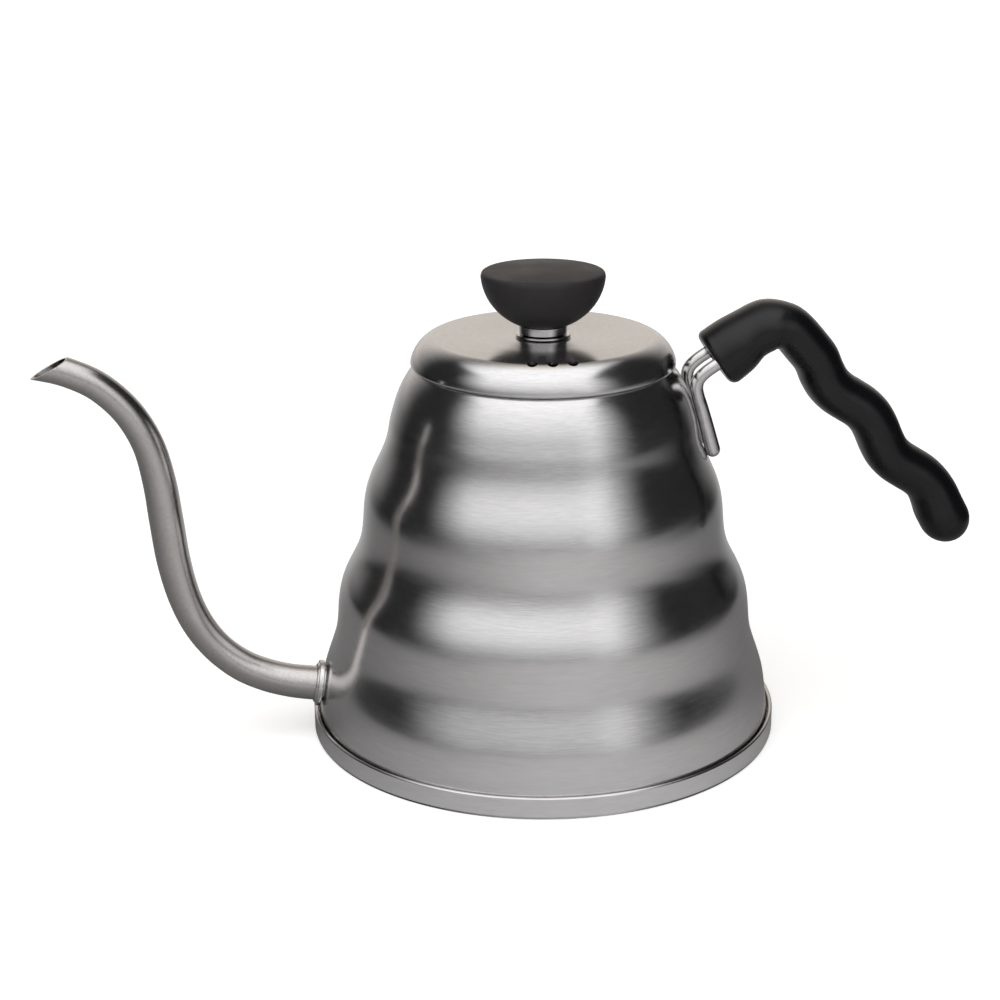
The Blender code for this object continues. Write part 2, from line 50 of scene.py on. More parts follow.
# Body: a cone with a swell on it, whose crests and grooves make the four lobes.
CONE_RADIUS = 74.5 * MM
CONE_TAPER = 0.30
SWELL = [
    (4.7, -2.3), (19.7, -0.5), (29.2, -0.8), (46.7, 1.75),
    (59.7, -0.15), (77.7, 2.45), (92.2, 0.75), (100.2, 1.4),
]
SHOULDER_START = 103.3 * MM
SHOULDER_END = 117.7 * MM
SHOULDER_DROP = 7.2 * MM
SHOULDER_TOP = 114.1 * MM  # the neck's roll starts here
BODY_FOOT = 1.6 * MM
FOOT_RADIUS = 70.3 * MM
WALL = 0.8 * MM
NECK_ROLL = 0.95 * MM
NECK_ROLL_CENTRE = (37.6 * MM, 114.6 * MM)
NECK_LIP_END = 112.2 * MM
BODY_TURNS = 256
SHOULDER_RINGS = 16
LOBE_RINGS = 110

# Base pan
PAN_RADIUS = 72.0 * MM
PAN_HEIGHT = 6.7 * MM
PAN_RIM_WIDTH = 1.3 * MM
PAN_FLOOR = 1.0 * MM
PAN_HEEL = 0.5 * MM
PAN_GROOVE_RADIUS = 64.2 * MM
PAN_GROOVE = [(1.4, 0), (1.1, 0.3), (0.8, 0.5), (-0.8, 0.5), (-1.1, 0.3), (-1.4, 0)]

# Lid and knob
LID_TURNS = 192
LID_SEAT = 115.2 * MM
LID_RADIUS = 39.8 * MM
LID_CENTRE_TOP = 123.6 * MM
LID_TOP = 123.8 * MM
LID_DISH_RADIUS = 16.0 * MM
LID_HEM = [(0.06, 0.5), (0.25, 0.2), (0.45, 0.05), (0.7, 0), (0.95, 0.05), (1.05, 0.15)]
LID_FLAT_RADIUS = 32.9 * MM
LID_CORNER_FOOT = 116.0 * MM
LID_CORNER_POWER = 1.62
SKIRT_RADIUS = 36.2 * MM
SKIRT_TOP = 121.0 * MM
SKIRT_FOOT = 106.7 * MM
SKIRT_WALL = 0.7 * MM
SKIRT_CURL = 1.2 * MM
VENT_RADIUS = 1.6 * MM
VENT_CIRCLE = 33.2 * MM
VENT_ANGLES = (-103.3, -93.3, -83.3)
KNOB_TURNS = 128
KNOB_RADIUS = 18.6 * MM
KNOB_TOP = 144.3 * MM
KNOB_FOOT = 127.5 * MM
KNOB_BOWL_CENTRE = 143.0 * MM
KNOB_BOWL_DEPTH = 17.1 * MM
KNOB_CROWN = [(0, 0), (6, 0.12), (12, 0.45), (16.6, 0.88), (17.8, 1.05), (18.2, 1.3), (18.35, 1.6)]
KNOB_POCKET_TOP = 137.0 * MM
FOOT_RING = (8.3 * MM, 123.9 * MM, 124.5 * MM)  # radius, low and high
FERRULE = (7.2 * MM, 124.8 * MM, 127.2 * MM)
WASHER = (5.5 * MM, 121.7 * MM, 122.5 * MM)
INSERT = (3.5 * MM, 127.7 * MM, 136.7 * MM)
SCREW_RADIUS = 2.0 * MM
SCREW_HEAD_THICKNESS = 2.2 * MM
RECESS = (4.4 * MM, 1.0 * MM)
KNOB_SCREW_SEAT = 121.4 * MM
KNOB_SCREW_LENGTH = 14.5 * MM
KNOB_SCREW_HEAD = 3.9 * MM

# Spout: (x, z, diameter) in mm along its centre line
SPOUT_LINE = [
    (-67.6, 14.8, 10.6), (-73.5, 15.6, 10.5), (-79.5, 16.7, 10.3), (-86.4, 18.9, 10.1),
    (-93.8, 22.7, 9.8), (-100.8, 28.9, 9.5), (-106.2, 36.8, 9.6), (-110.0, 46.4, 9.8),
    (-112.5, 58.0, 10.1), (-113.9, 70.6, 10.2), (-115.3, 83.2, 9.9), (-118.0, 95.0, 9.4),
    (-123.3, 105.1, 9.1), (-131.0, 112.9, 8.9), (-139.5, 117.4, 8.7), (-147.5, 119.8, 8.8),
    (-155.0, 121.2, 9.0),
]
SPOUT_SIDES = 56
SPOUT_WALL = 0.7 * MM
MOUTH_LOW = Vector((-150.1 * MM, 0, 116.0 * MM))
MOUTH_HIGH = Vector((-139.7 * MM, 0, 121.6 * MM))
MOUTH_EDGE = 0.12 * MM
COLLAR_RADIUS = 7.1 * MM
COLLAR_THICKNESS = 1.6 * MM
COLLAR_LIP = 0.6 * MM
COLLAR_CENTRE = Vector((-70.15 * MM, 0, 15.25 * MM))
COLLAR_AXIS = Vector((-0.986, 0, 0.165))

# Handle: two round rods at y = +-ROD_SPACING / 2, and the grip over their upper ends
ROD_RADIUS = 2.1 * MM
ROD_SPACING = 14.2 * MM
ROD_SIDES = 32
PRESSED_END = 0.22 * MM
PRESSED_SHIFT = 0.3 * MM
DRAWN_BEND = 0.12 * MM
PRESSED_SPAN = (88 * MM, 108 * MM)
ROD_LINE = [
    (66.4, 123.4), (60.0, 119.9), (53.0, 115.6), (48.7, 112.8), (46.3, 110.4),
    (45.6, 107.9), (46.1, 105.1), (47.3, 101.5), (48.9, 96.3), (51.3, 88.1),
]
GRIP_ARCH = [
    (52.4, 114.0, 9.6), (58.7, 118.7, 9.1), (63.3, 122.2, 8.0), (68.0, 124.4, 7.9), (72.3, 124.5, 7.3),
    (76.3, 122.7, 7.1),
]
GRIP_FACE = math.radians(33.7)  # heading of the grip where it starts, square to its flat face
# Rounding of the face's rim at its sides, and what its top and its foot add to that
GRIP_RIM = (1.4 * MM, 0.5 * MM, 2.1 * MM)
GRIP_RIM_STEPS = 10
GRIP_EASE = 6.0 * MM  # headings are averaged over this far each way, so that rings fan out in the bend
GRIP_SIDES = 72
GRIP_WIDTH_RATIO = (1.10, 1.33)
GRIP_WIDTH_SPAN = (52 * MM, 70 * MM)
WAVE_START = (79.3 * MM, 119.0 * MM)
WAVE_ANGLE = math.radians(-48.8)
WAVE_LEAD = 3.0 * MM
WAVE_SETTLE = 9.0 * MM
WAVE_LENGTH = 76.0 * MM
WAVE_PITCH = 30.5 * MM
WAVE_HEIGHT = 1.55 * MM
WAVE_PHASE = 24.5 * MM
WAVE_DROP = 0.6 * MM
WAVE_RINGS = 18
GRIP_THICKNESS = 7.1 * MM
TAIL_THICKNESS = 7.8 * MM
TAIL_SWELL = (61 * MM, 73 * MM)
DOME_SWEEP = math.radians(84)
PLATE_CENTRE = (61.2 * MM, 120.55 * MM)
PLATE_SLOPE = math.radians(-28.5)
PLATE_SIZE = (9.0 * MM, 9.2 * MM, 2.0 * MM)
GRIP_SCREW_SEAT = 6.1 * MM
GRIP_SCREW_HEAD = 3.6 * MM
RING_STEP = 0.02 * MM  # rings closer than this at their nearest are left out
PARTING_TURN = -13.0  # degrees below the grip's side where its two mould halves meet
PARTING_WIDTH = 2.6  # degrees
PARTING_HEIGHT = 0.12 * MM
PARTING_FADE = (66 * MM, 76 * MM)  # it fades out between these x

STEEL = (0.625, 0.615, 0.62)

# Camera and studio
# The studio. Turns are from straight in front, positive to the right; rises are sines of elevations
BEHIND_TURN = math.radians(4)  # the pale back is centred this far to the left
BEHIND_SPAN = (math.radians(122), math.radians(168))
LEFT_LEAN = 0.42  # how much further left the front light reaches as it rises
LEFT_SPAN = (math.radians(-86), math.radians(-46))
RIGHT_SPAN = (math.radians(29), math.radians(69))
OVERHEAD_LEFT = (-0.80, -0.62)  # X over which the light overhead fades in from the left
OVERHEAD_RIGHT = (0.44, 0.56)  # X over which it fades out to the right
OVERHEAD_BACK = (-0.05, 0.70)  # Y over which it fades out to the back
OVERHEAD_RISE = (0.70, 0.80)
PANEL_TOP = math.sin(math.radians(58))
PANEL_LEVELS = (0.50, 1.54)
LOW_TOP = 0.5
LOW_LOSS = 0.36
LEFTWARD_SPAN = (math.radians(-70), math.radians(25))
STRIP_TURN = math.radians(30)
STRIP_WIDTH = (0.05, 0.28)
STRIP_LEVEL = 0.16
STRIP_RISE = (0.3, 0.8)
SIDE_LEVEL = 0.026
BACKDROP_RISE = (0.34, 0.80)
BACKDROP_LEVELS = (0.8, 0.30)
WHITE = (1.0, 1.0, 1.0, 1.0)
WARM = (1.0, 0.93, 0.85, 1.0)
FLOOR_CONTACT = 1.5 * MM  # the floor is clear to rays that start this close to it
CAMERA_DISTANCE = 0.600
CAMERA_HEIGHT = 0.2747
CAMERA_TURN = math.radians(8)
CAMERA_PITCH = math.radians(18.68)
CAMERA_LENS = 74.4
CAMERA_SHIFT = -0.0432


# ---------------------------------------------------------------- curves and profiles

def arc(centre, radius, start, end, count):
    """Points of an arc, angles in degrees from +X towards +Z."""
    angles = [math.radians(start + (end - start) * i / (count - 1)) for i in range(count)]
    return [(centre[0] + radius * math.cos(a), centre[1] + radius * math.sin(a)) for a in angles]


def spread(start, end, count):
    return [start + (end - start) * i / (count - 1) for i in range(count)]


def eased(value, start, end):
    """0 before start, 1 after end and a smooth step between them."""
    share = min(1.0, max(0.0, (value - start) / (end - start)))
    return share * share * (3 - 2 * share)


def beyond(first, second):
    """The point as far before first as second is after it."""
    return [2 * a - b for a, b in zip(first, second)]


def blend(a, b, c, d, t):
    """Catmull-Rom value at t between b and c."""
    bend = (c - a) * t + (2 * a - 5 * b + 4 * c - d) * t**2 + (3 * b - a - 3 * c + d) * t**3
    return b + bend / 2


def smooth_line(points, per_span):
    """Catmull-Rom curve through points of any dimension."""
    padded = [beyond(points[0], points[1]), *points, beyond(points[-1], points[-2])]
    found = []
    for i in range(len(points) - 1):
        for step in range(per_span):
            found.append(tuple(blend(*four, step / per_span) for four in zip(*padded[i : i + 4])))
    found.append(tuple(points[-1]))
    return found


def heading(first, second):
    return (Vector(second[:2]) - Vector(first[:2])).normalized()


def dome_end(line, steps):
    """The (x, z, radius) line with a rounded end."""
    ahead = heading(line[-2], line[-1])
    x, z, radius = line[-1]
    found = list(line)
    for i in range(1, steps + 1):
        angle = DOME_SWEEP * i / steps
        run = ahead * radius * math.sin(angle)
        found.append((x + run.x, z + run.y, radius * math.cos(angle)))
    return found


def close_start(line, depth, steps):
    """The line with close steps over its first stretch, where a rim is rounded."""
    (x, z, radius), (x1, z1, radius1) = line[0], line[1]
    ahead = heading(line[0], line[1])
    length = math.hypot(x1 - x, z1 - z)
    found = []
    for i in range(steps + 1):
        run = depth * (1 - math.cos(math.pi / 2 * i / steps))
        found.append((x + ahead.x * run, z + ahead.y * run, radius + (radius1 - radius) * run / length))
    return found + [point for point in line[1:] if point[0] > found[-1][0] + 0.1 * MM]


def distances(line):
    """How far along the line each of its points is."""
    found = [0.0]
    for one, other in zip(line, line[1:]):
        found.append(found[-1] + math.hypot(other[0] - one[0], other[1] - one[1]))
    return found


def eased_headings(line, reach, start):
    """Headings averaged over reach each way, turning from start at the first point."""
    runs = distances(line)
    found = []
    for run in runs:
        near = [point for point, at in zip(line, runs) if abs(at - run) <= reach]
        ahead = heading(near[0], near[-1])
        angle = math.atan2(ahead.y, ahead.x)
        angle = start + (angle - start) * eased(run, 0.0, 2 * reach)
        found.append(Vector((math.cos(angle), math.sin(angle))))
    return found


# ---------------------------------------------------------------- meshes

def to_object(name, shape):
    bmesh.ops.recalc_face_normals(shape, faces=shape.faces[:])
    mesh = bpy.data.meshes.new(name)
    shape.to_mesh(mesh)
    shape.free()
    obj = bpy.data.objects.new(name, mesh)
    bpy.context.scene.collection.objects.link(obj)
    return obj


def join_rings(shape, rings, closed):
    """Faces between neighbouring rings of vertices. A ring of one vertex is a tip."""
    pairs = list(zip(rings, rings[1:]))
    if closed:
        pairs.append((rings[-1], rings[0]))
    count = max(len(one) for one in rings)
    for upper, lower in pairs:
        for i in range(count):
            j = i + 1
            corners = [upper[i % len(upper)], upper[j % len(upper)]]
            corners += [lower[j % len(lower)], lower[i % len(lower)]]
            corners = list(dict.fromkeys(corners))
            if len(corners) > 2:
                shape.faces.new(corners)


def turned(name, points, turns, closed=True):
    """A turned body from (radius, height) points, its axis along Z."""
    shape = bmesh.new()
    rings = []
    for radius, height in points:
        if radius < ON_AXIS:
            rings.append([shape.verts.new((0, 0, height))])
            continue
        angles = [math.tau * i / turns for i in range(turns)]
        rings.append([shape.verts.new((radius * math.cos(a), radius * math.sin(a), height)) for a in angles])
    join_rings(shape, rings, closed)
    return to_object(name, shape)


def line_rings(shape, line, y, turns):
    """Rings of vertices round a line of (x, z, radius) points in the plane at y."""
    rings = []
    for i, (x, z, radius) in enumerate(line):
        ahead = heading(line[max(i - 1, 0)], line[min(i + 1, len(line) - 1)])
        rings.append([shape.verts.new(ring_point(x, z, y, ahead, turn, radius, radius)) for turn in turns])
    return rings


def ring_point(x, z, y, ahead, turn, tall, wide):
    """A point of the ring round (x, z), square to ahead, at an angle from +Y."""
    rise, side = tall * math.sin(turn), wide * math.cos(turn)
    return (x - ahead.y * rise, y + side, z + ahead.x * rise)


def even_turns(sides):
    return [math.tau * i / sides for i in range(sides)]


def close_ends(shape, rings):
    join_rings(shape, rings, False)
    for cap in (rings[0], rings[-1]):
        shape.faces.new(cap)


def rod(name, line, y, sides):
    """A solid rod along a line, with a flat cap at each end."""
    shape = bmesh.new()
    close_ends(shape, line_rings(shape, line, y, even_turns(sides)))
    return to_object(name, shape)


def block(name, size, location, turn_y, edge):
    shape = bmesh.new()
    bmesh.ops.create_cube(shape, size=1.0, matrix=Matrix.Diagonal((*size, 1.0)))
    if edge:
        bmesh.ops.bevel(shape, geom=shape.edges[:], offset=edge, segments=3, affect="EDGES", profile=0.5)
    place = Matrix.Translation(location) @ Matrix.Rotation(turn_y, 4, "Y")
    bmesh.ops.transform(shape, matrix=place, verts=shape.verts[:])
    return to_object(name, shape)


def drill(name, radius, length, centre, direction, sides=48):
    """A cylinder used only as a cutter."""
    shape = bmesh.new()
    bmesh.ops.create_cone(shape, cap_ends=True, segments=sides, radius1=radius, radius2=radius, depth=length)
    turn_to = Vector((0, 0, 1)).rotation_difference(Vector(direction)).to_matrix().to_4x4()
    bmesh.ops.transform(shape, matrix=Matrix.Translation(centre) @ turn_to, verts=shape.verts[:])
    return to_object(name, shape)


def settle(obj):
    """Applies the modifiers and puts the object's own placing into its mesh."""
    bpy.context.view_layer.update()
    done = obj.evaluated_get(bpy.context.evaluated_depsgraph_get())
    mesh = bpy.data.meshes.new_from_object(done)
    mesh.transform(obj.matrix_world)
    obj.modifiers.clear()
    obj.data = mesh
    obj.matrix_world = Matrix.Identity(4)
    return obj


def cut(obj, *tools):
    for tool in tools:
        boolean = obj.modifiers.new("cut", "BOOLEAN")
        boolean.operation = "DIFFERENCE"
        boolean.solver = "EXACT"
        boolean.object = tool
    settle(obj)
    for tool in tools:
        bpy.data.objects.remove(tool)
    return obj


def thicken(obj, thickness):
    wall = obj.modifiers.new("wall", "SOLIDIFY")
    wall.thickness = thickness
    wall.offset = -1.0
    wall.use_even_offset = True
    return settle(obj)


def place_piece(obj, body, finish, nodes, crease=32):
    """Shades a finished piece, gives it its material and ties it to the frame."""
    obj.data.shade_smooth()
    obj.data.set_sharp_from_angle(angle=math.radians(crease))
    obj.data.materials.append(finish)
    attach(obj, body)
    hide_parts(*nodes)
    return obj


# ---------------------------------------------------------------- node helpers

class Graph:
    """Small helper round a node tree, so that materials read as formulas."""

    def __init__(self, tree):
        self.tree = tree

    def node(self, kind, inputs=(), **settings):
        made = self.tree.nodes.new(kind)
        for key, value in settings.items():
            setattr(made, key, value)
        for key, value in dict(inputs).items():
            self.feed(made.inputs[key], value)
        return made

    def feed(self, socket, value):
        if isinstance(value, bpy.types.NodeSocket):
            self.tree.links.new(value, socket)
        else:
            socket.default_value = value

    def math(self, operation, *values):
        return self.node("ShaderNodeMath", dict(enumerate(values)), operation=operation).outputs[0]

    def ramp(self, value, low, high, to_low=0.0, to_high=1.0, smooth=False):
        kind = "SMOOTHSTEP" if smooth else "LINEAR"
        inputs = {"Value": value, "From Min": low, "From Max": high, "To Min": to_low, "To Max": to_high}
        return self.node("ShaderNodeMapRange", inputs, interpolation_type=kind).outputs["Result"]

    def mix(self, share, first, second):
        made = self.node("ShaderNodeMix", {"Factor": share}, data_type="FLOAT")
        self.feed(made.inputs[2], first)
        self.feed(made.inputs[3], second)
        return made.outputs[0]

    def tint(self, share, first, second):
        made = self.node("ShaderNodeMix", {"Factor": share}, data_type="RGBA")
        self.feed(made.inputs[6], first)
        self.feed(made.inputs[7], second)
        return made.outputs[2]

    def noise(self, vector, scale, detail=2.0, roughness=0.5):
        inputs = {"Vector": vector, "Scale": scale, "Detail": detail, "Roughness": roughness}
        return self.node("ShaderNodeTexNoise", inputs).outputs["Fac"]

    def stretched(self, vector, scales):
        return self.node("ShaderNodeMapping", {"Vector": vector, "Scale": scales}).outputs["Vector"]

    def bump(self, height, distance, strength=1.0):
        inputs = {"Height": height, "Distance": distance, "Strength": strength}
        return self.node("ShaderNodeBump", inputs).outputs["Normal"]


def rgb(red, green, blue):
    return (red, green, blue, 1.0)


def new_material(name, metallic, **constants):
    made = bpy.data.materials.new(name)
    made.use_nodes = True
    graph = Graph(made.node_tree)
    shader = made.node_tree.nodes["Principled BSDF"]
    shader.inputs["Metallic"].default_value = metallic
    for key, value in constants.items():
        shader.inputs[key.replace("_", " ")].default_value = value
    return made, graph, shader


def turned_coordinates(graph, around, across):
    """Coordinates that are long round the Z axis and short across it, with no seam."""
    place = graph.node("ShaderNodeTexCoord").outputs["Object"]
    split = graph.node("ShaderNodeSeparateXYZ", {"Vector": place}).outputs
    x, y, z = split[0], split[1], split[2]
    reach = graph.math("SQRT", graph.math("ADD", graph.math("MULTIPLY", x, x), graph.math("MULTIPLY", y, y)))
    reach = graph.math("MAXIMUM", reach, 0.0005)
    level = graph.math("SUBTRACT", z, reach)
    inputs = {
        "X": graph.math("MULTIPLY", graph.math("DIVIDE", x, reach), around),
        "Y": graph.math("MULTIPLY", graph.math("DIVIDE", y, reach), around),
        "Z": graph.math("MULTIPLY", level, across),
    }
    return graph.node("ShaderNodeCombineXYZ", inputs).outputs["Vector"]


def steel_finish(graph, shader, fine, coarse, colour, roughness, depth):
    """Colour, roughness and bump of ground steel, from a fine and a coarse grain and light handling marks."""
    place = graph.node("ShaderNodeTexCoord").outputs["Object"]
    smudge = graph.noise(place, 38.0, 3.0, 0.55)
    grain = graph.mix(0.3, fine, coarse)
    dark = rgb(*(0.86 * c for c in colour))
    light = rgb(*(min(1.0, 1.13 * c) for c in colour))
    graph.feed(shader.inputs["Base Color"], graph.tint(graph.ramp(grain, 0.25, 0.75), dark, light))
    low, high = roughness
    base = graph.ramp(grain, 0.3, 0.7, low, high)
    marks = graph.ramp(smudge, 0.45, 0.75, 0.0, 0.035, smooth=True)
    graph.feed(shader.inputs["Roughness"], graph.math("ADD", base, marks))
    graph.feed(shader.inputs["Normal"], graph.bump(grain, depth))


def turned_steel(name, colour=STEEL, roughness=(0.16, 0.21), depth=0.000002, anisotropic=0.5):
    """Steel brushed round the Z axis: highlights are stretched across the grain."""
    made, graph, shader = new_material(name, 1.0, Anisotropic=anisotropic, Anisotropic_Rotation=0.25)
    tangent = graph.node("ShaderNodeTangent", direction_type="RADIAL", axis="Z").outputs["Tangent"]
    graph.feed(shader.inputs["Tangent"], tangent)
    fine = graph.noise(turned_coordinates(graph, 13.0, 3000.0), 1.0, 3.0, 0.7)
    coarse = graph.noise(turned_coordinates(graph, 5.0, 700.0), 1.0, 3.0, 0.6)
    steel_finish(graph, shader, fine, coarse, colour, roughness, depth)
    return made


def plain_steel(name, scales, colour=STEEL, roughness=(0.24, 0.32), depth=0.000002):
    """Steel with a fine grain stretched by scales."""
    made, graph, shader = new_material(name, 1.0)
    place = graph.node("ShaderNodeTexCoord").outputs["Object"]
    fine = graph.noise(graph.stretched(place, scales), 1.0, 2.0, 0.6)
    coarse = graph.noise(graph.stretched(place, tuple(s / 7 for s in scales)), 1.0, 3.0, 0.6)
    steel_finish(graph, shader, fine, coarse, colour, roughness, depth)
    return made


def black_plastic(name, colour, roughness, grain_size, depth, specular):
    """Moulded plastic with a fine matt texture and faint rubbed patches."""
    made, graph, shader = new_material(name, 0.0, Specular_IOR_Level=specular)
    place = graph.node("ShaderNodeTexCoord").outputs["Object"]
    texture = graph.noise(place, 1 / grain_size, 3.0, 0.6)
    rubbed = graph.ramp(graph.noise(place, 55.0, 4.0, 0.55), 0.42, 0.68, smooth=True)
    lighter = rgb(*(1.35 * c for c in colour))
    graph.feed(shader.inputs["Base Color"], graph.tint(rubbed, rgb(*colour), lighter))
    low, high = roughness
    base = graph.ramp(texture, 0.3, 0.7, low, high)
    rub = graph.math("MULTIPLY", rubbed, -0.05)
    graph.feed(shader.inputs["Roughness"], graph.math("ADD", base, rub))
    graph.feed(shader.inputs["Normal"], graph.bump(texture, depth))
    return made


# ---------------------------------------------------------------- body, base and spout

def swell_at(height):
    """Height of the lobes above the cone, eased from each crest to the next groove."""
    knots = [(z * MM, out * MM) for z, out in SWELL]
    if height <= knots[0][0]:
        return knots[0][1]
    for (low, start), (high, end) in zip(knots, knots[1:]):
        if height <= high:
            return start + (end - start) * (1 - math.cos(math.pi * (height - low) / (high - low))) / 2
    return knots[-1][1]


def body_radius(height):
    radius = CONE_RADIUS - CONE_TAPER * height + swell_at(height)
    share = (height - SHOULDER_START) / (SHOULDER_END - SHOULDER_START)
    if share > 0:
        radius -= SHOULDER_DROP * (1 - math.sqrt(1 - share**2))
    return min(radius, FOOT_RADIUS)


def body_shell():
    lip = [(NECK_ROLL_CENTRE[0] - NECK_ROLL, NECK_LIP_END)]
    roll = arc(NECK_ROLL_CENTRE, NECK_ROLL, 180, 35, 14)
    heights = spread(SHOULDER_TOP, SHOULDER_START, SHOULDER_RINGS)
    heights += spread(SHOULDER_START, BODY_FOOT, LOBE_RINGS)[1:]
    wall = [(body_radius(h), h) for h in heights]
    body = thicken(turned("kettle_body", lip + roll + wall, BODY_TURNS, closed=False), WALL)
    root, ahead = SPOUT_LINE[0], SPOUT_LINE[2]
    middle = (root[0] * MM, 0, root[1] * MM)
    direction = (ahead[0] - root[0], 0, ahead[1] - root[1])
    cut(body, drill("spout_hole", root[2] / 2 * MM + GAP, 14 * MM, middle, direction))
    place_piece(body, "kettle", turned_steel("body_steel"), ["body_shell"])


def base_pan():
    bead = PAN_RIM_WIDTH / 2
    rim = arc((PAN_RADIUS - bead, PAN_HEIGHT - bead), bead, 180, 0, 19)
    heel = arc((PAN_RADIUS - PAN_HEEL, PAN_HEEL), PAN_HEEL, 0, -90, 9)
    groove = [(PAN_GROOVE_RADIUS + out * MM, up * MM) for out, up in PAN_GROOVE]
    raised = [(radius, height + PAN_FLOOR) for radius, height in reversed(groove)]
    inner = PAN_RADIUS - PAN_RIM_WIDTH
    points = rim + heel + groove + [(0, 0), (0, PAN_FLOOR)] + raised + [(inner, PAN_FLOOR)]
    finish = turned_steel("pan_steel", roughness=(0.16, 0.22))
    place_piece(turned("base_ring", points, BODY_TURNS), "kettle", finish, ["base_pan"])


def spout_tube():
    line = [(x * MM, z * MM, d / 2 * MM) for x, z, d in smooth_line(SPOUT_LINE, 8)]
    shape = bmesh.new()
    turns = even_turns(SPOUT_SIDES)
    outer = line_rings(shape, line, 0, turns)
    inner = line_rings(shape, [(x, z, radius - SPOUT_WALL) for x, z, radius in line], 0, turns)
    inside = {vert for one in inner for vert in one}
    join_rings(shape, outer + inner[::-1], True)
    # the inner faces take the second material, the bore's painted shade
    for face in shape.faces:
        face.material_index = int(all(vert in inside for vert in face.verts))
    bmesh.ops.recalc_face_normals(shape, faces=shape.faces[:])
    along = (MOUTH_HIGH - MOUTH_LOW).normalized()
    everything = shape.verts[:] + shape.edges[:] + shape.faces[:]
    away = (-along.z, 0, along.x)
    bmesh.ops.bisect_plane(shape, geom=everything, plane_co=MOUTH_LOW, plane_no=away, clear_outer=True)
    loops = [edge for edge in shape.edges if edge.is_boundary]
    bmesh.ops.bridge_loops(shape, edges=loops)
    bmesh.ops.bevel(shape, geom=loops, offset=MOUTH_EDGE, segments=3, affect="EDGES", profile=0.5)
    spout = to_object("spout", shape)
    finish = plain_steel("spout_steel", (1100, 2600, 1100), (0.52, 0.50, 0.492), (0.19, 0.25))
    place_piece(spout, "kettle", finish, ["spout_tube"])
    # Painted shade: the bore is the same steel as the outside, given a far darker colour for the shade inside
    # the tube.
    painted_shade_bore = plain_steel("spout_bore_painted_shade", (900, 900, 900), (0.16, 0.155, 0.15), (0.20, 0.30))
    spout.data.materials.append(painted_shade_bore)


def spout_collar():
    inner = SPOUT_LINE[0][2] / 2 * MM + GAP
    high, low = COLLAR_THICKNESS / 2, -COLLAR_THICKNESS / 2
    lip = high + COLLAR_LIP
    rolled = 0.35 * MM
    points = [(inner, lip), (inner + 0.25 * MM, lip), (inner + 0.38 * MM, lip - 0.1 * MM)]
    points += [(inner + 0.6 * MM, high)]
    points += arc((COLLAR_RADIUS - rolled, high - rolled), rolled, 90, 0, 6)
    points += [(COLLAR_RADIUS, low + 0.2 * MM), (COLLAR_RADIUS - 0.2 * MM, low), (inner, low)]
    collar = turned("collar", points, 96)
    collar.rotation_euler = Vector((0, 0, 1)).rotation_difference(COLLAR_AXIS).to_euler()
    collar.location = COLLAR_CENTRE
    finish = plain_steel("collar_steel", (900, 900, 900), roughness=(0.14, 0.2))
    place_piece(settle(collar), "kettle", finish, ["spout_collar"])


# ---------------------------------------------------------------- handle

def rod_points(per_span):
    return [(x * MM, z * MM, ROD_RADIUS) for x, z in smooth_line(ROD_LINE, per_span)]


def pressed_rod_points(per_span):
    """The rod's line, a little thinner in its bend and wider where it is pressed on to the body."""
    found = []
    for x, z, radius in rod_points(per_span):
        wider = PRESSED_END * (1 - eased(z, *PRESSED_SPAN)) - DRAWN_BEND * eased(z, *PRESSED_SPAN)
        found.append((x - PRESSED_SHIFT * (1 - eased(z, *PRESSED_SPAN)), z, radius + wider))
    return found


def handle_rods():
    finish = plain_steel("rod_steel", (500, 500, 500), roughness=(0.12, 0.18))
    for name, side in (("left", -1), ("right", 1)):
        line = dome_end(pressed_rod_points(8), 8)
        obj = rod("rod_" + name, line, side * ROD_SPACING / 2, ROD_SIDES)
        place_piece(obj, "kettle", finish, ["handle_rod_" + name])


def grip_points():
    arch = [(x * MM, z * MM, half * MM) for x, z, half in GRIP_ARCH]
    along = Vector((math.cos(WAVE_ANGLE), math.sin(WAVE_ANGLE)))
    across = Vector((-along.y, along.x))
    waves = []
    for run in spread(WAVE_LEAD, WAVE_LENGTH, WAVE_RINGS):
        wave = WAVE_HEIGHT * math.sin(math.tau * (run - WAVE_PHASE) / WAVE_PITCH) - WAVE_DROP
        place = Vector(WAVE_START) + along * run + across * wave * min(1.0, run / WAVE_SETTLE)
        half = GRIP_THICKNESS + (TAIL_THICKNESS - GRIP_THICKNESS) * eased(run, *TAIL_SWELL)
        waves.append((place.x, place.y, half))
    return dome_end(smooth_line(arch + waves, 6), 12)


def grip_width(x):
    face, waves = GRIP_WIDTH_RATIO
    return face + (waves - face) * eased(x, *GRIP_WIDTH_SPAN)


def parting_turns():
    """Angles round the grip, with three close ones at each side's parting line."""
    seams = [math.radians(PARTING_TURN), math.radians(180 - PARTING_TURN)]
    half = math.radians(PARTING_WIDTH) / 2
    turns = [turn for turn in even_turns(GRIP_SIDES) if min(seam_distance(turn, s) for s in seams) > 2 * half]
    for seam in seams:
        turns += [(seam + step) % math.tau for step in (-half, 0, half)]
    return sorted(turns), seams, half


def seam_distance(turn, seam):
    return abs((turn - seam + math.pi) % math.tau - math.pi)


def rim_inset(run, turn):
    """How far the rounded rim draws the grip's surface in, at a distance from its face."""
    side, top, foot = GRIP_RIM
    lift = math.sin(turn)
    rounding = side + (top if lift > 0 else foot) * lift**2
    if run >= rounding:
        return 0.0
    return rounding - math.sqrt(rounding**2 - (rounding - run) ** 2)


def least_step(before, after, ahead):
    """The shortest way forward between two rings, negative where they would cross."""
    return min((point - last).dot(ahead) for last, point in zip(before, after))


